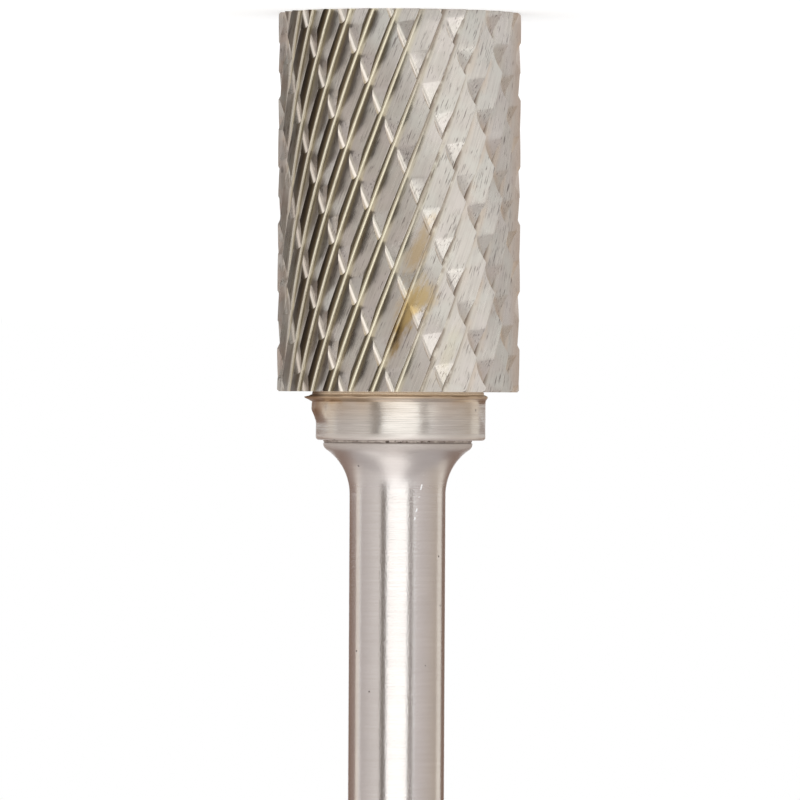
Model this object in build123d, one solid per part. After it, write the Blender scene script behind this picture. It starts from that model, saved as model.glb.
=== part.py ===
from build123d import *
import os
from math import acos, cos, degrees, pi, radians, sin, tan

# Cylindrical carbide burr with a double cut, in millimetres. It stands on the plain end of
# its head: Z = 0 is that end face, and the shank points up along +Z.

# Cutting head
head_diameter = 16.0
head_length = 25.0
end_chamfer = 0.12

# Right-hand flutes, evenly spaced round the head. The cutting faces look along -angle, the
# way the burr turns when it is seen from its shank.
flute_count = 30
flute_helix_angle = 21.8
flute_root_depth = 0.70  # where the face and the back would meet, before the root is rounded
flute_root_radius = 0.20
flute_root_flats = 1  # flats that follow the root radius
flute_rake_angle = 2.0
flute_land = 0.05
flute_phase = 8.9  # degrees from +X to one cutting edge, at Z = 0

# Left-hand chip-breaker grooves that cross the flutes. Their flanks are as steep round the
# head as the backs of the teeth, so a flank and a back meet in a level edge.
groove_count = 14
groove_helix_angle = 24.0
groove_root_depth = 0.60
groove_root_radius = 0.16
groove_root_flats = 1
groove_wall_angle = 2.0
groove_phase = 19.6  # degrees from +X to one groove's root, at Z = 0

# Boss: the smooth foot of the carbide that the shank is brazed to
neck_diameter = 11.0
neck_length = 0.30
lip_diameter = 11.65
lip_length = 0.33
boss_diameter = 11.2
boss_length = 3.2  # from the flutes to the braze, neck and lip included
boss_edge_chamfer = 0.30

# Braze film, set back from the edge of the joint
braze_diameter = 9.3
braze_thickness = 0.15

# Steel shank
shank_diameter = 6.35
overall_length = 70.0
flare_diameter = 9.85
flare_rim_length = 0.34
flare_radius = 3.55
shank_end_chamfer = 0.50

cutter_overshoot = 0.30  # how far the cutters reach past the faces they cut

head_radius = head_diameter / 2
boss_end = head_length + boss_length
shank_start = boss_end + braze_thickness


def on_head(depth, arc):
    """A point of the head's section: so deep below its surface, so far along it from +X."""
    radius = head_radius - depth
    return (radius * cos(arc / head_radius), radius * sin(arc / head_radius))


def helix_turn(helix_angle, length):
    """Degrees that a helix on the head's surface turns through over a length of the axis."""
    return degrees(length * tan(radians(helix_angle)) / head_radius)


def two_walls(start, root, end, radius, flats):
    """Two straight walls that meet at a root, with flats along the root radius."""
    corner = FilletPolyline(start, root, end, radius=radius)
    arc = corner.edges().filter_by(GeomType.CIRCLE)[0]
    steps = [arc @ (step / flats) for step in range(flats + 1)]
    return Polyline(start, *[(point.X, point.Y) for point in steps], end)


def fluted_blank():
    """The toothed outline of the head, extruded with a right-hand twist."""
    pitch = pi * head_diameter / flute_count
    root_arc = flute_land + flute_root_depth * tan(radians(flute_rake_angle))
    cutting_edge = on_head(0, -flute_land)
    flute = two_walls(
        cutting_edge,
        on_head(flute_root_depth, -root_arc),
        on_head(0, -pitch),
        flute_root_radius,
        flute_root_flats,
    )
    land = Line(on_head(0, 0), cutting_edge)
    tooth = [*land.edges(), *flute.edges()]
    outline = [
        edge.rotate(Axis.Z, flute_phase + number * 360 / flute_count)
        for number in range(flute_count)
        for edge in tooth
    ]
    return Solid.extrude_linear_with_rotation(
        Wire(outline),
        (0, 0, 0),
        (0, 0, head_length),
        helix_turn(flute_helix_angle, head_length),
    )


def groove_cutter():
    """One chip-breaker groove as a solid: a steep wall, a rounded root and a long flank."""
    back_width = pi * head_diameter / flute_count - flute_land
    flank_slope = flute_root_depth / back_width
    reach = groove_root_depth + cutter_overshoot
    section = two_walls(
        on_head(-cutter_overshoot, reach * tan(radians(groove_wall_angle))),
        on_head(groove_root_depth, 0),
        on_head(-cutter_overshoot, -reach / flank_slope),
        groove_root_radius,
        groove_root_flats,
    )
    lid = Line(section @ 1, section @ 0)
    length = head_length + 2 * cutter_overshoot
    cutter = Solid.extrude_linear_with_rotation(
        Wire([*section.edges(), *lid.edges()]),
        (0, 0, 0),
        (0, 0, length),
        -helix_turn(groove_helix_angle, length),
    )
    start_turn = helix_turn(groove_helix_angle, cutter_overshoot)
    return cutter.translate((0, 0, -cutter_overshoot)).rotate(Axis.Z, start_turn)


def turned(*outline):
    """A solid turned about Z from the radius and height of each corner of its section."""
    return revolve(make_face(Plane.XZ * Polyline(*outline, close=True)), Axis.Z)


def chamfer_cutter(end, inward):
    """The ring that bevels one end of the head; inward is +1 or -1, along Z into it."""
    outside = head_radius + cutter_overshoot
    inside = head_radius - end_chamfer - cutter_overshoot
    return turned(
        (inside, end - inward * cutter_overshoot),
        (outside, end - inward * cutter_overshoot),
        (outside, end + inward * (end_chamfer + cutter_overshoot)),
    )


def make_boss():
    """The neck, the raised lip and the boss, with its edge broken at the braze."""
    lip_start = head_length + neck_length
    boss_radius = boss_diameter / 2
    return turned(
        (0, head_length),
        (neck_diameter / 2, head_length),
        (neck_diameter / 2, lip_start),
        (lip_diameter / 2, lip_start),
        (boss_radius, lip_start + lip_length),
        (boss_radius, boss_end - boss_edge_chamfer),
        (boss_radius - boss_edge_chamfer, boss_end),
        (0, boss_end),
    )


def make_head():
    grooves = [
        groove_cutter().rotate(Axis.Z, groove_phase + number * 360 / groove_count)
        for number in range(groove_count)
    ]
    bevels = [chamfer_cutter(0, 1), chamfer_cutter(head_length, -1)]
    return fluted_blank().cut(*grooves, *bevels).fuse(make_boss())


def make_braze():
    film = Cylinder(
        braze_diameter / 2, braze_thickness, align=(Align.CENTER, Align.CENTER, Align.MIN)
    )
    return film.translate((0, 0, boss_end))


def make_shank():
    """The shank, which opens under the braze into a flare with one concave radius and a rim."""
    shank_radius = shank_diameter / 2
    flare_angle = acos(1 - (flare_diameter / 2 - shank_radius) / flare_radius)
    rim_end = shank_start + flare_rim_length
    flare_end = rim_end + flare_radius * sin(flare_angle)
    flare = CenterArc(
        (shank_radius + flare_radius, flare_end), flare_radius, 180, degrees(flare_angle)
    )
    body = Polyline(
        flare @ 1,
        (flare_diameter / 2, shank_start),
        (0, shank_start),
        (0, overall_length),
        (shank_radius - shank_end_chamfer, overall_length),
        (shank_radius, overall_length - shank_end_chamfer),
        flare @ 0,
    )
    return revolve(make_face(Plane.XZ * (flare + body)), Axis.Z)


os.makedirs("parts", exist_ok=True)
export_step(make_head(), "parts/carbide_head.step")
export_step(make_braze(), "parts/braze_joint.step")
export_step(make_shank(), "parts/steel_shank.step")
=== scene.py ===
import math

import bpy
from mathutils import Matrix, Vector, noise


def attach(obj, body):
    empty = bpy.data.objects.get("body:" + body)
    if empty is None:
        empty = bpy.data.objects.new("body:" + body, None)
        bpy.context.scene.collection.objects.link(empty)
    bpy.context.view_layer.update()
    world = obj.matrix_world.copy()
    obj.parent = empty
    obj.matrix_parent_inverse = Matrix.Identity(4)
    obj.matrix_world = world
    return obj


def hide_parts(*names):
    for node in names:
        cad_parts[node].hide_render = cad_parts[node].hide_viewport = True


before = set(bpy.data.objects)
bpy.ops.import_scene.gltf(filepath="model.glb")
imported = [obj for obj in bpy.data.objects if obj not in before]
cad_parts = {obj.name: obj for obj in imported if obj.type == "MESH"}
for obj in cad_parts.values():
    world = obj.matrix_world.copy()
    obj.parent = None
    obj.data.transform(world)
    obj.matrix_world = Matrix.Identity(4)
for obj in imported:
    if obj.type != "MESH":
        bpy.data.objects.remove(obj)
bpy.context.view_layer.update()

# Camera. It stands level with the neck behind the head's teeth and is turned upside down, so
# that the head, which stands on the floor, is at the top of the picture and the shank below.
camera_distance = 0.625
camera_height = 0.02554
camera_aside = -0.00013
camera_lean = math.radians(0.30)
view_width = 0.0528  # what the picture takes in at the burr's axis
sensor_width = 36.0

bpy.ops.object.camera_add()
camera = bpy.context.object
camera.data.sensor_width = sensor_width
camera.data.lens = sensor_width * camera_distance / view_width
camera.data.clip_start = 0.05
camera.data.clip_end = 20.0
upside_down = Matrix(((-1, 0, 0, 0), (0, 0, -1, 0), (0, -1, 0, 0), (0, 0, 0, 1)))
camera.matrix_world = (
    Matrix.Translation((camera_aside, -camera_distance, camera_height))
    @ upside_down
    @ Matrix.Rotation(camera_lean, 4, "Z")
)
scene = bpy.context.scene
scene.camera = camera
scene.view_settings.view_transform = "Standard"


# Floor, of smooth white card, and the white room beyond it. Both are white to the camera and
# in the polished metal; the floor still takes the shadow of the burr.
floor_radius = 2.5
floor_colour = (0.86, 0.86, 0.86, 1)
floor_glow = 0.32
room_light = 0.80
white = (1, 1, 1, 1)


class Number:
    """A value that runs over a surface. Plain arithmetic on it adds the nodes."""

    def __init__(self, finish, socket):
        self.finish = finish
        self.socket = socket

    def maths(self, operation, *others):
        values = {place: value for place, value in enumerate((self, *others))}
        return self.finish.node("ShaderNodeMath", {"operation": operation}, values)

    def __add__(self, other):
        return self.maths("ADD", other)

    def __sub__(self, other):
        return self.maths("SUBTRACT", other)

    def __mul__(self, other):
        return self.maths("MULTIPLY", other)

    def __truediv__(self, other):
        return self.maths("DIVIDE", other)

    def __pow__(self, other):
        return self.maths("POWER", other)

    def __rsub__(self, other):
        return (self * -1) + other

    def rise(self, low, high):
        """0 below low, 1 above high, and a smooth climb between them."""
        settings = {"interpolation_type": "SMOOTHSTEP"}
        places = {0: self, 1: low, 2: high}
        return self.finish.node("ShaderNodeMapRange", settings, places)

    def fall(self, low, high):
        """1 below low, 0 above high, and a smooth drop between them."""
        return 1 - self.rise(low, high)


class Finish:
    """The nodes of one surface finish."""

    def __init__(self, name, owner=None):
        self.made = owner or bpy.data.materials.new(name)
        self.made.use_nodes = True
        self.tree = self.made.node_tree
        self.tree.nodes.clear()

    def node(self, kind, settings=None, inputs=None, output=0):
        """Adds a node: its settings first, then the values or links of its sockets."""
        made = self.tree.nodes.new(kind)
        for name, value in (settings or {}).items():
            setattr(made, name, value)
        for name, value in (inputs or {}).items():
            if isinstance(value, Number):
                self.tree.links.new(value.socket, made.inputs[name])
            else:
                made.inputs[name].default_value = value
        return Number(self, made.outputs[output])

    def mix(self, factor, first, second):
        """From the first colour to the second, as factor goes from 0 to 1."""
        inputs = {0: factor, 6: first, 7: second}
        return self.node("ShaderNodeMix", {"data_type": "RGBA"}, inputs, 2)

    def end(self, surface, kind="ShaderNodeOutputMaterial"):
        """Links a surface to the output and gives the material back."""
        made = self.tree.nodes.new(kind)
        self.tree.links.new(surface.socket, made.inputs["Surface"])
        return self.made

    def seen(self):
        """1 to the camera and in a reflection or through glass, 0 to all other light."""
        rays = [
            self.node("ShaderNodeLightPath", output=name)
            for name in ("Is Camera Ray", "Is Glossy Ray", "Is Transmission Ray")
        ]
        return rays[0].maths("MAXIMUM", rays[1]).maths("MAXIMUM", rays[2])


bpy.ops.mesh.primitive_circle_add(vertices=96, radius=floor_radius, fill_type="NGON")
floor = bpy.context.object
floor.name = "floor"
card = Finish("white_card")
glow_strength = card.seen() * floor_glow
glow = card.node("ShaderNodeEmission", inputs={"Color": white, "Strength": glow_strength})
paper = card.node("ShaderNodeBsdfDiffuse", inputs={"Color": floor_colour})
glowing_paper = card.node("ShaderNodeAddShader", inputs={0: paper, 1: glow})
floor.data.materials.append(card.end(glowing_paper))

room = Finish("room", scene.world or bpy.data.worlds.new("room"))
scene.world = room.made
room_strength = room.seen() * (1 - room_light) + room_light
background = room.node("ShaderNodeBackground", inputs={"Color": white, "Strength": room_strength})
room.end(background, "ShaderNodeOutputWorld")


# Studio light: four softboxes in front of the burr and over it, and glowing cards that only
# the metal sees, which lie round the burr, stand round it or hang over it. Left and right are
# as the upside-down camera sees them, with +X at the left.
lamp_colour = (1, 0.985, 0.955)
head_middle = (0, 0, 0.012)

for name, place, aim, width, height, radiance in (
    ("key_light", (0, -1.0, 0.13), (0, 0, 0.13), 0.91, 0.24, 0.84),
    ("high_light", (0.13, -0.9, 0.48), head_middle, 0.54, 0.46, 0.65),
    ("side_light", (-0.43, -0.9, 0.40), head_middle, 0.55, 0.30, 0.80),
    ("top_light", (0.08, -0.50, 0.85), head_middle, 0.66, 0.80, 0.74),
):
    bpy.ops.object.light_add(type="AREA", location=place)
    lamp = bpy.context.object
    lamp.name = name
    lamp.data.shape = "RECTANGLE"
    lamp.data.size, lamp.data.size_y = width, height
    lamp.data.color = lamp_colour
    lamp.data.energy = radiance * math.pi * width * height
    lamp.rotation_euler = (Vector(aim) - Vector(place)).to_track_quat("-Z", "Y").to_euler()
    lamp.visible_camera = False


def glowing_card(name, place, turns, width, height, shade, far_shade=None):
    """A card that only the metal sees. It may fade to another shade towards its own +X side."""
    bpy.ops.mesh.primitive_plane_add(size=1, location=place)
    panel = bpy.context.object
    panel.name = name
    panel.scale = (width, height, 1)
    panel.rotation_euler = turns
    colour = Finish(name)
    if far_shade:
        spot = colour.node("ShaderNodeTexCoord", output="Object")
        side = colour.node("ShaderNodeSeparateXYZ", inputs={0: spot})
        shade = colour.mix(side.rise(-0.5, 0.5), shade, far_shade)
    tint = colour.node("ShaderNodeEmission", inputs={"Color": shade, "Strength": 1.0})
    panel.data.materials.append(colour.end(tint))
    panel.visible_camera = panel.visible_diffuse = panel.visible_shadow = False


# A card's turn is in degrees round the burr, from -Y towards -X. The square floor cards have
# one corner near the burr and spread away from it on both sides of their turn.
floor_card_size = 1.0
floor_card_gap = 0.0083
for name, turn, lift, shade in (
    ("grey_floor_left", -71, 0.0006, (0.77, 0.72, 0.68, 1)),
    ("pale_floor_left", -52, 0.0005, (0.86, 0.83, 0.80, 1)),
    ("white_floor_front", 9, 0.0004, (1.22, 1.20, 1.17, 1)),
    ("grey_floor_right", 94, 0.0004, (0.82, 0.79, 0.77, 1)),
):
    angle = math.radians(turn)
    reach = floor_card_gap + floor_card_size * math.sqrt(0.5)
    place = (-reach * math.sin(angle), -reach * math.cos(angle), lift)
    turns = (0, 0, math.radians(45) - angle)
    glowing_card(name, place, turns, floor_card_size, floor_card_size, shade)

for name, place, width, depth, shade in (
    ("grey_ceiling", (0, 0.3, 1.25), 4.0, 4.0, (0.56, 0.52, 0.51, 1)),
    ("white_ceiling", (0.13, 0.25, 1.20), 0.66, 1.1, (1.15, 1.10, 1.06, 1)),
):
    glowing_card(name, place, (0, 0, 0), width, depth, shade)

# The standing cards all face the burr: wide ones at its sides, two narrow ones that frame it
# from the front, and two small dark ones behind it.
foot, high_foot = 0.001, 0.026
for name, turn, distance, width, height, foot_height, shade, far_shade in (
    ("grey_card_left", -66, 0.8, 1.00, 0.8, foot, (0.97, 0.93, 0.90, 1), (0.68, 0.63, 0.615, 1)),
    ("pale_card_left", -113, 0.9, 0.32, 0.8, foot, (1.05, 0.97, 0.89, 1), None),
    ("grey_card_right", 78, 0.8, 1.10, 0.8, foot, (0.62, 0.54, 0.46, 1), (0.80, 0.75, 0.74, 1)),
    ("pale_card_right", 123, 0.9, 0.32, 0.8, foot, (1.00, 0.93, 0.84, 1), None),
    ("frame_left", -33.2, 0.7, 0.165, 0.40, foot, (0.20, 0.17, 0.148, 1), None),
    ("frame_right", 32.6, 0.7, 0.135, 0.40, foot, (0.33, 0.285, 0.265, 1), None),
    ("dark_card_left", -141, 0.30, 0.28, 0.3, high_foot, (0.42, 0.32, 0.28, 1), (0.26, 0.17, 0.13, 1)),
    ("dark_card_right", 150, 0.30, 0.18, 0.3, high_foot, (0.28, 0.19, 0.15, 1), None),
):
    angle = math.radians(turn)
    place = (-distance * math.sin(angle), -distance * math.cos(angle), height / 2 + foot_height)
    glowing_card(name, place, (math.pi / 2, 0, -angle), width, height, shade, far_shade)


# Shank, of steel, turned from bar and polished. It opens into a flare under the braze, and
# its free end is bevelled to go into a collet. Its lengths, like those of the other pieces,
# are in millimetres until the piece is finished.
shank_radius = 3.175
shank_start, shank_top = 28.35, 70.0
shank_bevel = 0.5
bevel_reach, bevel_cut = 0.05, 0.03  # the bevel's corners are softened over this reach, by this cut
flare_radius = 3.55
flare_rim = 0.34
flare_edge_radius = 4.925
flare_edge = [(-0.08, 0), (-0.025, 0.03), (0, 0.08), (-0.005, 0.15), (-0.03, 0.25), (-0.09, 0.36)]
flare_rings = 16
shading_ring_gap = 20  # an extra ring this far before the bevel keeps the shading even
shank_sides = 160

steel_colour = (0.655, 0.625, 0.61, 1)
clouded_steel = (0.595, 0.568, 0.555, 1)
streaked_steel = (0.58, 0.545, 0.525, 1)
heated_steel = (0.51, 0.465, 0.43, 1)
nick_glint_white = (0.95, 0.95, 0.95, 1)
pit_colour = (0.12, 0.10, 0.09, 1)
steel_roughness = 0.11


def turned(name, rings, sides):
    """A piece off the lathe: discs of these radii at these heights, each drawn on from the last."""
    bpy.ops.object.select_all(action="DESELECT")
    radius, height = rings[0]
    bpy.ops.mesh.primitive_circle_add(
        vertices=sides, radius=radius, fill_type="NGON", location=(0, 0, height)
    )
    bpy.ops.object.mode_set(mode="EDIT")
    for next_radius, next_height in rings[1:]:
        step = {"value": (0, 0, next_height - height)}
        bpy.ops.mesh.extrude_region_move(TRANSFORM_OT_translate=step)
        ratio = next_radius / radius
        bpy.ops.transform.resize(value=(ratio, ratio, 1), center_override=(0, 0, next_height))
        radius, height = next_radius, next_height
    bpy.ops.mesh.select_all(action="SELECT")
    bpy.ops.mesh.normals_make_consistent(inside=False)
    bpy.ops.object.mode_set(mode="OBJECT")
    piece = bpy.context.object
    piece.name = piece.data.name = name
    bpy.ops.object.transform_apply(location=True, rotation=True, scale=True)
    return piece


def finish_piece(piece, smooth_angle):
    """Brings a piece from millimetres to metres and smooths all but its real edges."""
    bpy.ops.object.select_all(action="DESELECT")
    piece.select_set(True)
    bpy.context.view_layer.objects.active = piece
    piece.scale = (0.001, 0.001, 0.001)
    bpy.ops.object.transform_apply(location=True, rotation=True, scale=True)
    bpy.ops.object.shade_smooth_by_angle(angle=math.radians(smooth_angle))
    even = piece.modifiers.new("even_shading", "WEIGHTED_NORMAL")
    even.keep_sharp = True
    bpy.ops.object.modifier_apply(modifier=even.name)


flare_angle = math.acos(1 - (flare_edge_radius - shank_radius) / flare_radius)
flare_end = shank_start + flare_rim + flare_radius * math.sin(flare_angle)
shank_rings = [(flare_edge_radius + outward, shank_start + down) for outward, down in flare_edge]
for ring in range(1, flare_rings + 1):
    left = flare_angle * (1 - ring / flare_rings)
    ring_radius = shank_radius + flare_radius * (1 - math.cos(left))
    shank_rings.append((ring_radius, flare_end - flare_radius * math.sin(left)))
bevel_start = shank_top - shank_bevel
shank_rings += [
    (shank_radius, bevel_start - shading_ring_gap),
    (shank_radius, bevel_start - bevel_reach),
    (shank_radius - bevel_cut, bevel_start + bevel_cut),
    (shank_radius - shank_bevel + bevel_cut, shank_top - bevel_cut),
    (shank_radius - shank_bevel - bevel_reach, shank_top),
]
shank = turned("shank", shank_rings, shank_sides)


def axes(finish, vector):
    """The three coordinates of a place, each as a number."""
    return [finish.node("ShaderNodeSeparateXYZ", inputs={0: vector}, output=axis) for axis in "XYZ"]


def in_millimetres(finish):
    """The place on the piece, in millimetres."""
    spot = finish.node("ShaderNodeTexCoord", output="Object")
    return finish.node("ShaderNodeVectorMath", {"operation": "SCALE"}, {0: spot, "Scale": 1000.0})


def stretched(finish, vector, across, along):
    """A place with its height counted in other steps than its width, for long marks."""
    steps = {0: vector, 1: (across, across, along)}
    return finish.node("ShaderNodeVectorMath", {"operation": "MULTIPLY"}, steps)


def grain(finish, vector, scale=1.0, detail=3.0, rough=0.55):
    """Cloudy noise from 0 to 1, with about this many clouds to a millimetre."""
    inputs = {"Vector": vector, "Scale": scale, "Detail": detail, "Roughness": rough}
    return finish.node("ShaderNodeTexNoise", inputs=inputs)


def pits(finish, vector, scale, size, share):
    """Small round holes: 1 in a pit and 0 between them."""
    spread = {"Vector": vector, "Scale": scale}
    distance = finish.node("ShaderNodeTexVoronoi", inputs=spread)
    pick = finish.node("ShaderNodeTexVoronoi", inputs=spread, output="Color")
    some = axes(finish, pick)[0].rise(1 - share - 0.01, 1 - share)
    return distance.fall(size * 0.5, size) * some


polish = Finish("polished_steel")
millimetres = in_millimetres(polish)
x, y, z = axes(polish, millimetres)
polish_rings = grain(polish, stretched(polish, millimetres, 0.25, 9.0), detail=4.0)
long_marks = grain(polish, stretched(polish, millimetres, 7.0, 0.25), detail=2.0)
fine_grain = grain(polish, millimetres, 8.0, 2.0)
cloud = grain(polish, millimetres, 0.45)
pit = pits(polish, millimetres, 1.1, 0.10, 0.16)
seam_edge = z.fall(28.6, 29.0)
flare_marks = z.fall(30.6, 32.2)

# A row of short nicks along the front of the shank, over the end of the flare, painted bright
# white and barely metallic as a painted glint. The row passes through (nick_x, nick_height) and
# leans by nick_slope.
nick_start, nick_end = 30.4, 33.7
nick_x, nick_height, nick_slope = -1.69, 30.6, 0.20
nick_line = x - nick_x - (z - nick_height) * nick_slope
nick_lengths = grain(polish, stretched(polish, millimetres, 0.0, 1.9), detail=1.0).rise(0.50, 0.53)
nick_glints = nick_line.maths("ABSOLUTE").fall(0.02, 0.07) * nick_lengths * (0 - y).rise(0, 1)
nick_glints = nick_glints * z.rise(nick_start, nick_start + 0.3) * z.fall(nick_end - 0.2, nick_end)

colour = polish.mix(cloud.rise(0.35, 0.7) * 0.5, steel_colour, clouded_steel)
colour = polish.mix(polish_rings.rise(0.35, 0.65) * 0.3, colour, streaked_steel)
colour = polish.mix(pit * 0.8, colour, pit_colour)
colour = polish.mix(seam_edge * 0.5, colour, heated_steel)
colour = polish.mix(nick_glints, colour, nick_glint_white)
roughness = polish_rings * 0.07 + cloud * 0.05 + steel_roughness + pit * 0.3
roughness = roughness + flare_marks * 0.15 + seam_edge * 0.30
height = polish_rings * 0.30 + long_marks * 0.20 + fine_grain * 0.75 - pit * 2.0
bump = polish.node("ShaderNodeBump", inputs={"Strength": 0.28, "Distance": 0.00003, "Height": height})
surface = polish.node("ShaderNodeBsdfPrincipled", inputs={
    "Base Color": colour, "Metallic": 1 - nick_glints, "Roughness": roughness, "Normal": bump,
})
shank.data.materials.append(polish.end(surface))
finish_piece(shank, smooth_angle=30)
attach(shank, "root")
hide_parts("steel_shank")


# Braze, a thin film of silver solder that was melted between the shank and the carbide. It
# ends just short of the flare's edge, where it shows as a dull pitted line.
braze_radius = 4.90
braze_start = 28.20
braze_edge = [(0, 0), (0.02, 0.04), (0.01, 0.075), (-0.02, 0.12), (-0.05, 0.15)]
braze_sides = 160
braze_sink = 0.008

solder_dull = (0.36, 0.31, 0.28, 1)
solder_pale = (0.55, 0.50, 0.46, 1)
pore_colour = (0.10, 0.075, 0.06, 1)

braze_rings = [(braze_radius + outward, braze_start + down) for outward, down in braze_edge]
braze = turned("braze_film", braze_rings, braze_sides)
for vertex in braze.data.vertices:
    spot = Vector(vertex.co)
    sink = 1 - braze_sink * (noise.noise(spot * 1.7) + 0.6 * noise.noise(spot * 5.3))
    vertex.co.x *= sink
    vertex.co.y *= sink

solder = Finish("braze_solder")
millimetres = in_millimetres(solder)
clots = grain(solder, millimetres, 2.2, 4.0)
pores = grain(solder, millimetres, 5.0).rise(0.56, 0.64)
colour = solder.mix(clots.rise(0.42, 0.6), solder_dull, solder_pale)
colour = solder.mix(pores * 0.9, colour, pore_colour)
bump = solder.node("ShaderNodeBump", inputs={"Strength": 0.5, "Distance": 0.00005, "Height": clots})
surface = solder.node("ShaderNodeBsdfPrincipled", inputs={
    "Base Color": colour, "Metallic": 0.7, "Roughness": 0.5, "Normal": bump,
})
braze.data.materials.append(solder.end(surface))
finish_piece(braze, smooth_angle=40)
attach(braze, "root")
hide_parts("braze_joint")


# Cutting head, of tungsten carbide. A ground bar gets right-hand flutes and is then crossed by
# left-hand chip-breaker grooves. Each wheel leaves a bar with its own teeth: the head is what
# two such bars have in common. It is brazed to the shank by the boss at its smooth end.
head_radius = 8.0
head_length = 25.0
end_bevel = 0.12
past_ends, past_sides = 0.3, 0.05  # bars and barrel reach past the head, so no faces coincide
twist_steps = 64
barrel_sides = 180

# Flutes and grooves, with lengths in millimetres and angles in degrees.
flute_count, flute_helix, flute_depth, flute_root = 30, 21.8, 0.70, 0.20
flute_rake, flute_land, flute_phase = 2.0, 0.02, 8.9
groove_count, groove_helix, groove_depth, groove_root = 14, 24.0, 0.62, 0.28
groove_wall_lean, groove_phase, groove_clear = 2.0, 19.6, 0.30
groove_flank_steeper = 1.04
root_angle = 64.5  # between the two walls that meet at a root


def twisted_bar(name, outline, count, phase, turn_per_length, root_point, root_length):
    """A bar with this outline, (radius, angle) of each corner of one tooth, ground to a helix."""
    corners = len(outline)
    bpy.ops.object.select_all(action="DESELECT")
    bpy.ops.mesh.primitive_circle_add(
        vertices=count * corners, radius=1, fill_type="NGON", location=(0, 0, 0)
    )
    bar = bpy.context.object
    bar.name = bar.data.name = name
    pitch = 2 * math.pi / count
    for number, vertex in enumerate(bar.data.vertices):
        tooth, corner = divmod(number, corners)
        radius, angle = outline[corner]
        turn = phase + tooth * pitch + angle
        vertex.co = (radius * math.cos(turn), radius * math.sin(turn), -past_ends)
    bpy.ops.object.mode_set(mode="EDIT")
    bpy.ops.mesh.select_mode(type="VERT")
    bpy.ops.mesh.select_all(action="DESELECT")
    bpy.ops.object.mode_set(mode="OBJECT")
    for number, vertex in enumerate(bar.data.vertices):
        vertex.select = number % corners == root_point
    bpy.ops.object.mode_set(mode="EDIT")
    bpy.ops.mesh.bevel(
        offset_type="OFFSET", offset=root_length, segments=7, profile=0.5,
        affect="VERTICES", clamp_overlap=True,
    )
    bpy.ops.mesh.select_all(action="SELECT")
    length = head_length + 2 * past_ends
    bpy.ops.mesh.extrude_region_move(TRANSFORM_OT_translate={"value": (0, 0, length)})
    bpy.ops.mesh.select_mode(type="EDGE")
    bpy.ops.mesh.select_all(action="DESELECT")
    bpy.ops.object.mode_set(mode="OBJECT")
    heights = [vertex.co.z for vertex in bar.data.vertices]
    for edge in bar.data.edges:
        first, second = edge.vertices
        edge.select = abs(heights[first] - heights[second]) > head_length
    bpy.ops.object.mode_set(mode="EDIT")
    bpy.ops.mesh.subdivide(number_cuts=twist_steps - 1)
    bpy.ops.mesh.select_all(action="SELECT")
    bpy.ops.mesh.normals_make_consistent(inside=False)
    bpy.ops.object.mode_set(mode="OBJECT")
    twist = bar.modifiers.new("helix", "SIMPLE_DEFORM")
    twist.deform_method = "TWIST"
    twist.deform_axis = "Z"
    twist.angle = turn_per_length * length
    bpy.ops.object.modifier_apply(modifier=twist.name)
    return bar


def keep(piece, tool, operation):
    """Cuts or joins a piece with another, which is used up."""
    bpy.ops.object.select_all(action="DESELECT")
    piece.select_set(True)
    bpy.context.view_layer.objects.active = piece
    cut = piece.modifiers.new(operation, "BOOLEAN")
    cut.operation, cut.solver, cut.object = operation, "MANIFOLD", tool
    bpy.ops.object.modifier_apply(modifier=cut.name)
    bpy.data.objects.remove(tool)


def root_cut(root_radius):
    """How far from a root's sharp corner its rounding starts."""
    return root_radius / math.tan(math.radians(root_angle) / 2)


flute_pitch = 2 * math.pi / flute_count
flute_turn = math.tan(math.radians(flute_helix)) / head_radius
rake_shift = (flute_land + flute_depth * math.tan(math.radians(flute_rake))) / head_radius
flute_outline = [
    (head_radius, -flute_land / head_radius),
    (head_radius, 0),
    (head_radius - flute_depth, flute_pitch - rake_shift),
]
head = twisted_bar(
    "cutting_head", flute_outline, flute_count, math.radians(flute_phase), flute_turn,
    root_point=2, root_length=root_cut(flute_root),
)

groove_pitch = 2 * math.pi / groove_count
groove_turn = -math.tan(math.radians(groove_helix)) / head_radius
groove_reach = (groove_depth + groove_clear) / head_radius
flute_back_width = flute_pitch * head_radius - flute_land
groove_flank_width = groove_reach * flute_back_width / flute_depth / groove_flank_steeper
groove_outline = [
    (head_radius - groove_depth, 0),
    (head_radius + groove_clear, groove_reach * math.tan(math.radians(groove_wall_lean))),
    (head_radius + groove_clear, groove_pitch - groove_flank_width),
]
grooved = twisted_bar(
    "grooved_bar", groove_outline, groove_count, math.radians(groove_phase), groove_turn,
    root_point=0, root_length=root_cut(groove_root),
)
barrel_radius = head_radius + past_sides
barrel_bevel = barrel_radius - head_radius + end_bevel
barrel_rings = [
    (barrel_radius - barrel_bevel, 0),
    (barrel_radius, barrel_bevel),
    (barrel_radius, head_length - barrel_bevel),
    (barrel_radius - barrel_bevel, head_length),
]
barrel = turned("barrel", barrel_rings, barrel_sides)
keep(grooved, barrel, "INTERSECT")
keep(head, grooved, "INTERSECT")

# The smooth foot of the head: a neck behind the teeth, a rolled lip and the boss that the
# shank is brazed to. A lump of dried flux sticks to one side of it.
neck_radius, neck_length = 5.64, 0.30
lip_radius = 5.92
lip_edge = [(-0.26, -0.12), (-0.12, -0.07), (-0.03, -0.02), (0, 0.04), (-0.02, 0.12)]
lip_step = 0.25  # the share of the lip's height that ends in a step; the rest slopes away
lip_slope_start, lip_slope_length, lip_slope_rings = 0.14, 0.23, 4
boss_radius, boss_end, boss_rounding, rounding_rings = 5.6, 28.2, 0.22, 6
boss_ring_gap = 0.16
boss_sides = 160
into_head = 0.4
neck_bend_start, neck_bend_end, neck_softness = 0.03, 0.11, 0.04

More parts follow.
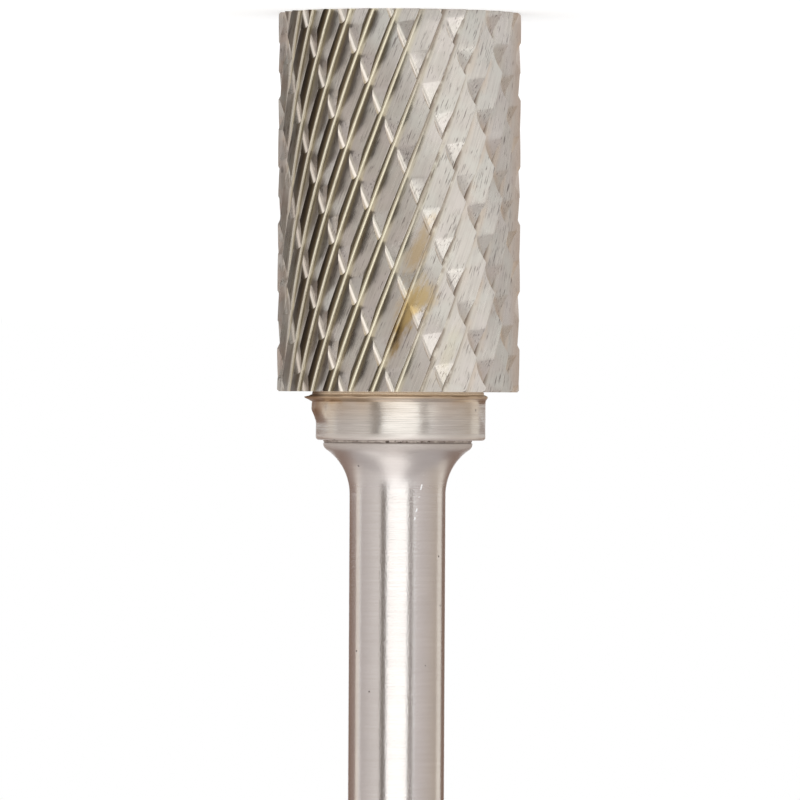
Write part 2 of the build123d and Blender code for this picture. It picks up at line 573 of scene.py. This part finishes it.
# What makes the foot uneven. Noise is counted in clouds to a millimetre.
lump_turn, lump_spread, lump_roundness = math.radians(-4), math.radians(26), 0.6
lump_height, lump_unevenness, lump_noise = 0.25, 0.10, 1.6
lump_fade_start, lump_fade_length = 26.2, 0.75
lip_burr_middle, lip_burr_height, lip_burr_reach, lip_burr_noise = 0.05, 0.09, 0.15, 1.1
boss_wobble, wobble_noise = 0.012, 0.8
boss_shift = 0.18  # the boss was ground a little off the axis
shift_start, shift_length = 0.12, 0.25
height_slack, radius_slack = 0.01, 0.1

lip_start = head_length + neck_length
boss_straight_end = boss_end - boss_rounding
boss_rings = [
    (neck_radius, head_length - into_head),
    (neck_radius, head_length + neck_bend_start),
    (neck_radius + neck_softness, head_length + neck_bend_end),
]
boss_rings += [(lip_radius + outward, lip_start + down) for outward, down in lip_edge]
for ring in range(1, lip_slope_rings + 1):
    part = ring / lip_slope_rings
    ring_radius = lip_radius + (boss_radius - lip_radius) * (lip_step + (1 - lip_step) * part)
    boss_rings.append((ring_radius, lip_start + lip_slope_start + lip_slope_length * part))
while boss_rings[-1][1] + boss_ring_gap < boss_straight_end:
    boss_rings.append((boss_radius, boss_rings[-1][1] + boss_ring_gap))
for ring in range(rounding_rings + 1):
    bend = math.radians(90) * ring / rounding_rings
    ring_radius = boss_radius - boss_rounding * (1 - math.cos(bend))
    boss_rings.append((ring_radius, boss_straight_end + boss_rounding * math.sin(bend)))
boss = turned("boss", boss_rings, boss_sides)

# The neck and the rounded end stay true; the lip and the side of the boss don't.
for vertex in boss.data.vertices:
    x, y, z = vertex.co
    radius, turn = math.hypot(x, y), math.atan2(y, x)
    on_lip_or_side = lip_start - height_slack <= z <= boss_straight_end
    if not on_lip_or_side or radius < boss_radius - radius_slack:
        continue
    side = max(0, 1 - ((turn - lump_turn) / lump_spread) ** 2) ** lump_roundness
    down = 1 - min(1, max(0, (z - lump_fade_start) / lump_fade_length))
    height = lump_height + lump_unevenness * noise.noise(Vector((x, y, z)) * lump_noise)
    swell = max(0, side * down * height)
    lip_burr = max(0, 1 - abs(z - lip_start - lip_burr_middle) / lip_burr_reach) * lip_burr_height
    wobble = boss_wobble * noise.noise(Vector((x, y, z * 2)) * wobble_noise)
    wobble += lip_burr * noise.noise(Vector((x, y, 0)) * lip_burr_noise)
    factor = (radius + swell + wobble) / radius
    vertex.co.x, vertex.co.y = x * factor, y * factor
for vertex in boss.data.vertices:
    past_lip = (vertex.co.z - lip_start - shift_start) / shift_length
    vertex.co.x -= boss_shift * min(1, max(0, past_lip))
keep(head, boss, "UNION")

# The teeth as ground: clean carbide with marks along the flutes, painted shade on the faces
# under the edges, painted highlights on the groove walls, tan roots and a golden stain at the front.
carbide_colour = (0.57, 0.54, 0.50, 1)
marked_carbide = (0.47, 0.44, 0.41, 1)
cool_tint = (0.56, 0.553, 0.513, 1)
warm_tint = (0.57, 0.528, 0.505, 1)
scratch_colour = (0.19, 0.165, 0.155, 1)
cream_root_and_sheen = (0.66, 0.60, 0.42, 1)
tan_root = (0.57, 0.485, 0.405, 1)
root_painted_shade = (0.22, 0.17, 0.135, 1)
rust = (0.48, 0.33, 0.25, 1)
tan_edge = (0.50, 0.40, 0.33, 1)
dark_face_shade = (0.026, 0.016, 0.011, 1)
pale_face_shade = (0.13, 0.10, 0.066, 1)
groove_highlight = (0.88, 0.81, 0.73, 1)
golden = (0.56, 0.42, 0.20, 1)

ground = Finish("ground_carbide")
millimetres = in_millimetres(ground)
x, y, z = axes(ground, millimetres)
radius = (x * x + y * y) ** 0.5
depth = head_radius - radius
normal_x, normal_y, normal_z = axes(ground, ground.node("ShaderNodeNewGeometry", output="Normal"))
facing = (y * normal_x - x * normal_y) / radius  # 1 on a face that looks clockwise from +Z
untwisted = ground.node(
    "ShaderNodeVectorRotate", {"rotation_type": "Z_AXIS"},
    {"Vector": millimetres, "Angle": z * -flute_turn},
)
marks = grain(ground, stretched(ground, untwisted, 9.0, 0.35), rough=0.6)
fine_marks = grain(ground, stretched(ground, untwisted, 30.0, 1.2), detail=2.0, rough=0.6)
cloud = grain(ground, millimetres, 0.35)
tints = grain(ground, millimetres, 0.5, 2.0)
scratches = grain(ground, stretched(ground, untwisted, 12.0, 1.1), detail=2.0).rise(0.55, 0.67)
scratched_part = grain(ground, millimetres, 0.8, 4.0).rise(0.42, 0.58)

colour = ground.mix(marks.rise(0.3, 0.75), carbide_colour, marked_carbide)
colour = ground.mix(tints.rise(0.5, 0.66) * 0.6, colour, cool_tint)
colour = ground.mix(tints.fall(0.36, 0.5) * 0.5, colour, warm_tint)
colour = ground.mix(scratches * scratched_part * 0.85, colour, scratch_colour)

# Tooth roots: a cream deposit, which also stands in as a painted sheen, most of all on the +X
# side, then darkened by painted shade on the -X side, and tan as well at the far -X side.
in_tooth = depth.fall(0.72, 0.78)
root_cream_and_sheen = depth.rise(0.46, 0.60) * in_tooth * (x.rise(-4.0, 1.5) * 0.5 + 0.15)
colour = ground.mix(root_cream_and_sheen, colour, cream_root_and_sheen)
tan_patches = grain(ground, millimetres, 0.4).rise(0.4, 0.55)
tan = depth.rise(0.36, 0.52) * in_tooth * x.fall(-5.6, -3.4) * tan_patches
colour = ground.mix(tan * 0.7, colour, tan_root)
# Painted shade: the deep roots on the -X side are darkened in patches.
root_shade_patches = grain(ground, millimetres, 0.9).rise(0.36, 0.52)
root_shade = depth.rise(0.52, 0.62) * in_tooth * (0 - x).rise(0.3, 2.5) * root_shade_patches
colour = ground.mix(root_shade * 0.75, colour, root_painted_shade)

# The sides seen edge-on from the front: rusty at +X and tan at -X.
rusty = x.rise(7.0, 7.8) * grain(ground, untwisted, 0.9, 4.0).rise(0.42, 0.62)
colour = ground.mix(rusty * 0.35, colour, rust)
colour = ground.mix((0 - x).rise(7.1, 7.9) * 0.7, colour, tan_edge)

# Steep groove walls get a painted highlight, but towards +X only near their roots. The other
# steep faces get painted shade, darkest near the edges.
full_highlight_side = x.fall(2.6, 5.8)
highlight_depth = depth.rise(0.34, 0.46) * x.fall(6.5, 7.3)
lit_groove_wall = facing.rise(0.15, 0.40) * (0 - normal_z).rise(0.05, 0.15)
lit_groove_wall = lit_groove_wall * (full_highlight_side + (1 - full_highlight_side) * highlight_depth)
steep_face = facing.rise(0.30, 0.75) * (1 - lit_groove_wall)
steep_face = steep_face * depth.fall(0.45, 0.57) * (0.94 - x.rise(6.2, 7.4) * 0.5)
steep_face_shade = ground.mix(depth.rise(0.12, 0.52), dark_face_shade, pale_face_shade)
colour = ground.mix(steep_face, colour, steep_face_shade)
colour = ground.mix(lit_groove_wall * 0.85, colour, groove_highlight)

# Stains on the -Y side, each drawn out along the flutes from its middle.
stain_edge = (grain(ground, stretched(ground, untwisted, 2.2, 0.9), 1.0, 5.0, 0.7) - 0.5) * 2.4
stain_side = (0 - y).rise(0, 2)
lean = math.radians(flute_helix)
for middle_x, middle_z, length, width, strength, stain_colour in (
    (-1.20, 15.8, 2.4, 0.58, 0.90, (0.52, 0.41, 0.26, 1)),
    (-1.65, 18.8, 1.3, 0.78, 0.75, golden),
    (-0.30, 20.6, 2.4, 0.50, 0.95, (0.34, 0.23, 0.09, 1)),
    (-0.9, 19.3, 1.8, 0.9, 0.6, golden),
    (-3.2, 22.5, 2.5, 0.6, 0.35, (0.55, 0.50, 0.36, 1)),
):
    along = (z - middle_z) * math.cos(lean) + (x - middle_x) * math.sin(lean)
    over = (x - middle_x) * math.cos(lean) - (z - middle_z) * math.sin(lean)
    spread = ((along / length) ** 2 + (over / width) ** 2) ** 0.5 + stain_edge
    stain = spread.fall(0.15, 1.3) * stain_side
    colour = ground.mix(stain * strength, colour, stain_colour)

height = marks * 0.6 + fine_marks * 0.4
bump = ground.node("ShaderNodeBump", inputs={"Strength": 0.25, "Distance": 0.00002, "Height": height})
roughness = marks * 0.15 + cloud * 0.08 + 0.18
surface = ground.node("ShaderNodeBsdfPrincipled", inputs={
    "Base Color": colour, "Metallic": 1.0, "Roughness": roughness, "Normal": bump,
})
head.data.materials.clear()
head.data.materials.append(ground.end(surface))

# The foot as brushed: rings from the wheel, a brown heat tint that fades away from the teeth,
# a tan film on the lip and in the neck, where it is painted pale as painted light in the neck's
# shade, a paler, rougher band at the edge beside the shank and the brown lump.
bright_foot = (0.625, 0.595, 0.560, 1)
ringed_foot = (0.525, 0.495, 0.460, 1)
heat_tint = (0.52, 0.385, 0.25, 1)
lip_tint = (0.60, 0.46, 0.32, 1)
lit_neck_film = (0.88, 0.72, 0.54, 1)
edge_band_colour = (0.66, 0.62, 0.585, 1)
lump_colour = (0.30, 0.19, 0.12, 1)

brushed = Finish("brushed_carbide")
millimetres = in_millimetres(brushed)
x, y, z = axes(brushed, millimetres)
brush_rings = grain(brushed, stretched(brushed, millimetres, 0.35, 14.0), detail=4.0, rough=0.65)
cloud = grain(brushed, millimetres, 0.6)
pit = pits(brushed, millimetres, 1.4, 0.14, 0.2)
heat = z.fall(25.9, 27.3) * 0.55 + z.fall(25.5, 26.0) * 0.45
# The tint is painted thinner in the middle, as a painted highlight where the highlight falls, and
# thicker towards +X.
heat_sides_and_highlight = (x * x * 0.05).rise(0.05, 0.9) * 0.35 + x.rise(-1, 4.5) * 0.55 + 0.35
heat = heat * heat_sides_and_highlight * (cloud.rise(0.2, 0.7) * 0.5 + 0.5)
lip = z.fall(25.30, 25.52)
neck = z.fall(25.20, 25.33)
# A paler, rougher band at the edge beside the shank.
edge_band = z.rise(27.65, 28.05)
lump = x.rise(4.7, 5.45) * z.fall(26.3, 27.2) * (0 - y).rise(-3.5, 0.5)

colour = brushed.mix(brush_rings.rise(0.3, 0.7), bright_foot, ringed_foot)
colour = brushed.mix(heat, colour, heat_tint)
colour = brushed.mix(lip, colour, lip_tint)
# The film in the neck is painted pale and made less metallic, as painted light in the neck's shade.
colour = brushed.mix(neck, colour, lit_neck_film)
colour = brushed.mix(edge_band, colour, edge_band_colour)
colour = brushed.mix(lump * (cloud.rise(0.1, 0.6) * 0.3 + 0.7), colour, lump_colour)
colour = brushed.mix(pit * 0.8, colour, pit_colour)
height = brush_rings - pit * 2.0
bump = brushed.node("ShaderNodeBump", inputs={"Strength": 0.18, "Distance": 0.00002, "Height": height})
roughness = brush_rings * 0.10 + cloud * 0.06 + 0.14
roughness = roughness + (lump + z.fall(25.4, 25.6) + edge_band) * 0.25
surface = brushed.node("ShaderNodeBsdfPrincipled", inputs={
    "Base Color": colour, "Metallic": 1 - neck * 0.7, "Roughness": roughness, "Normal": bump,
})
head.data.materials.append(brushed.end(surface))
teeth_end = head_length + 0.001  # faces past this height are the foot's
for face in head.data.polygons:
    face.material_index = int(face.center.z > teeth_end)
finish_piece(head, smooth_angle=24)
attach(head, "root")
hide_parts("carbide_head")
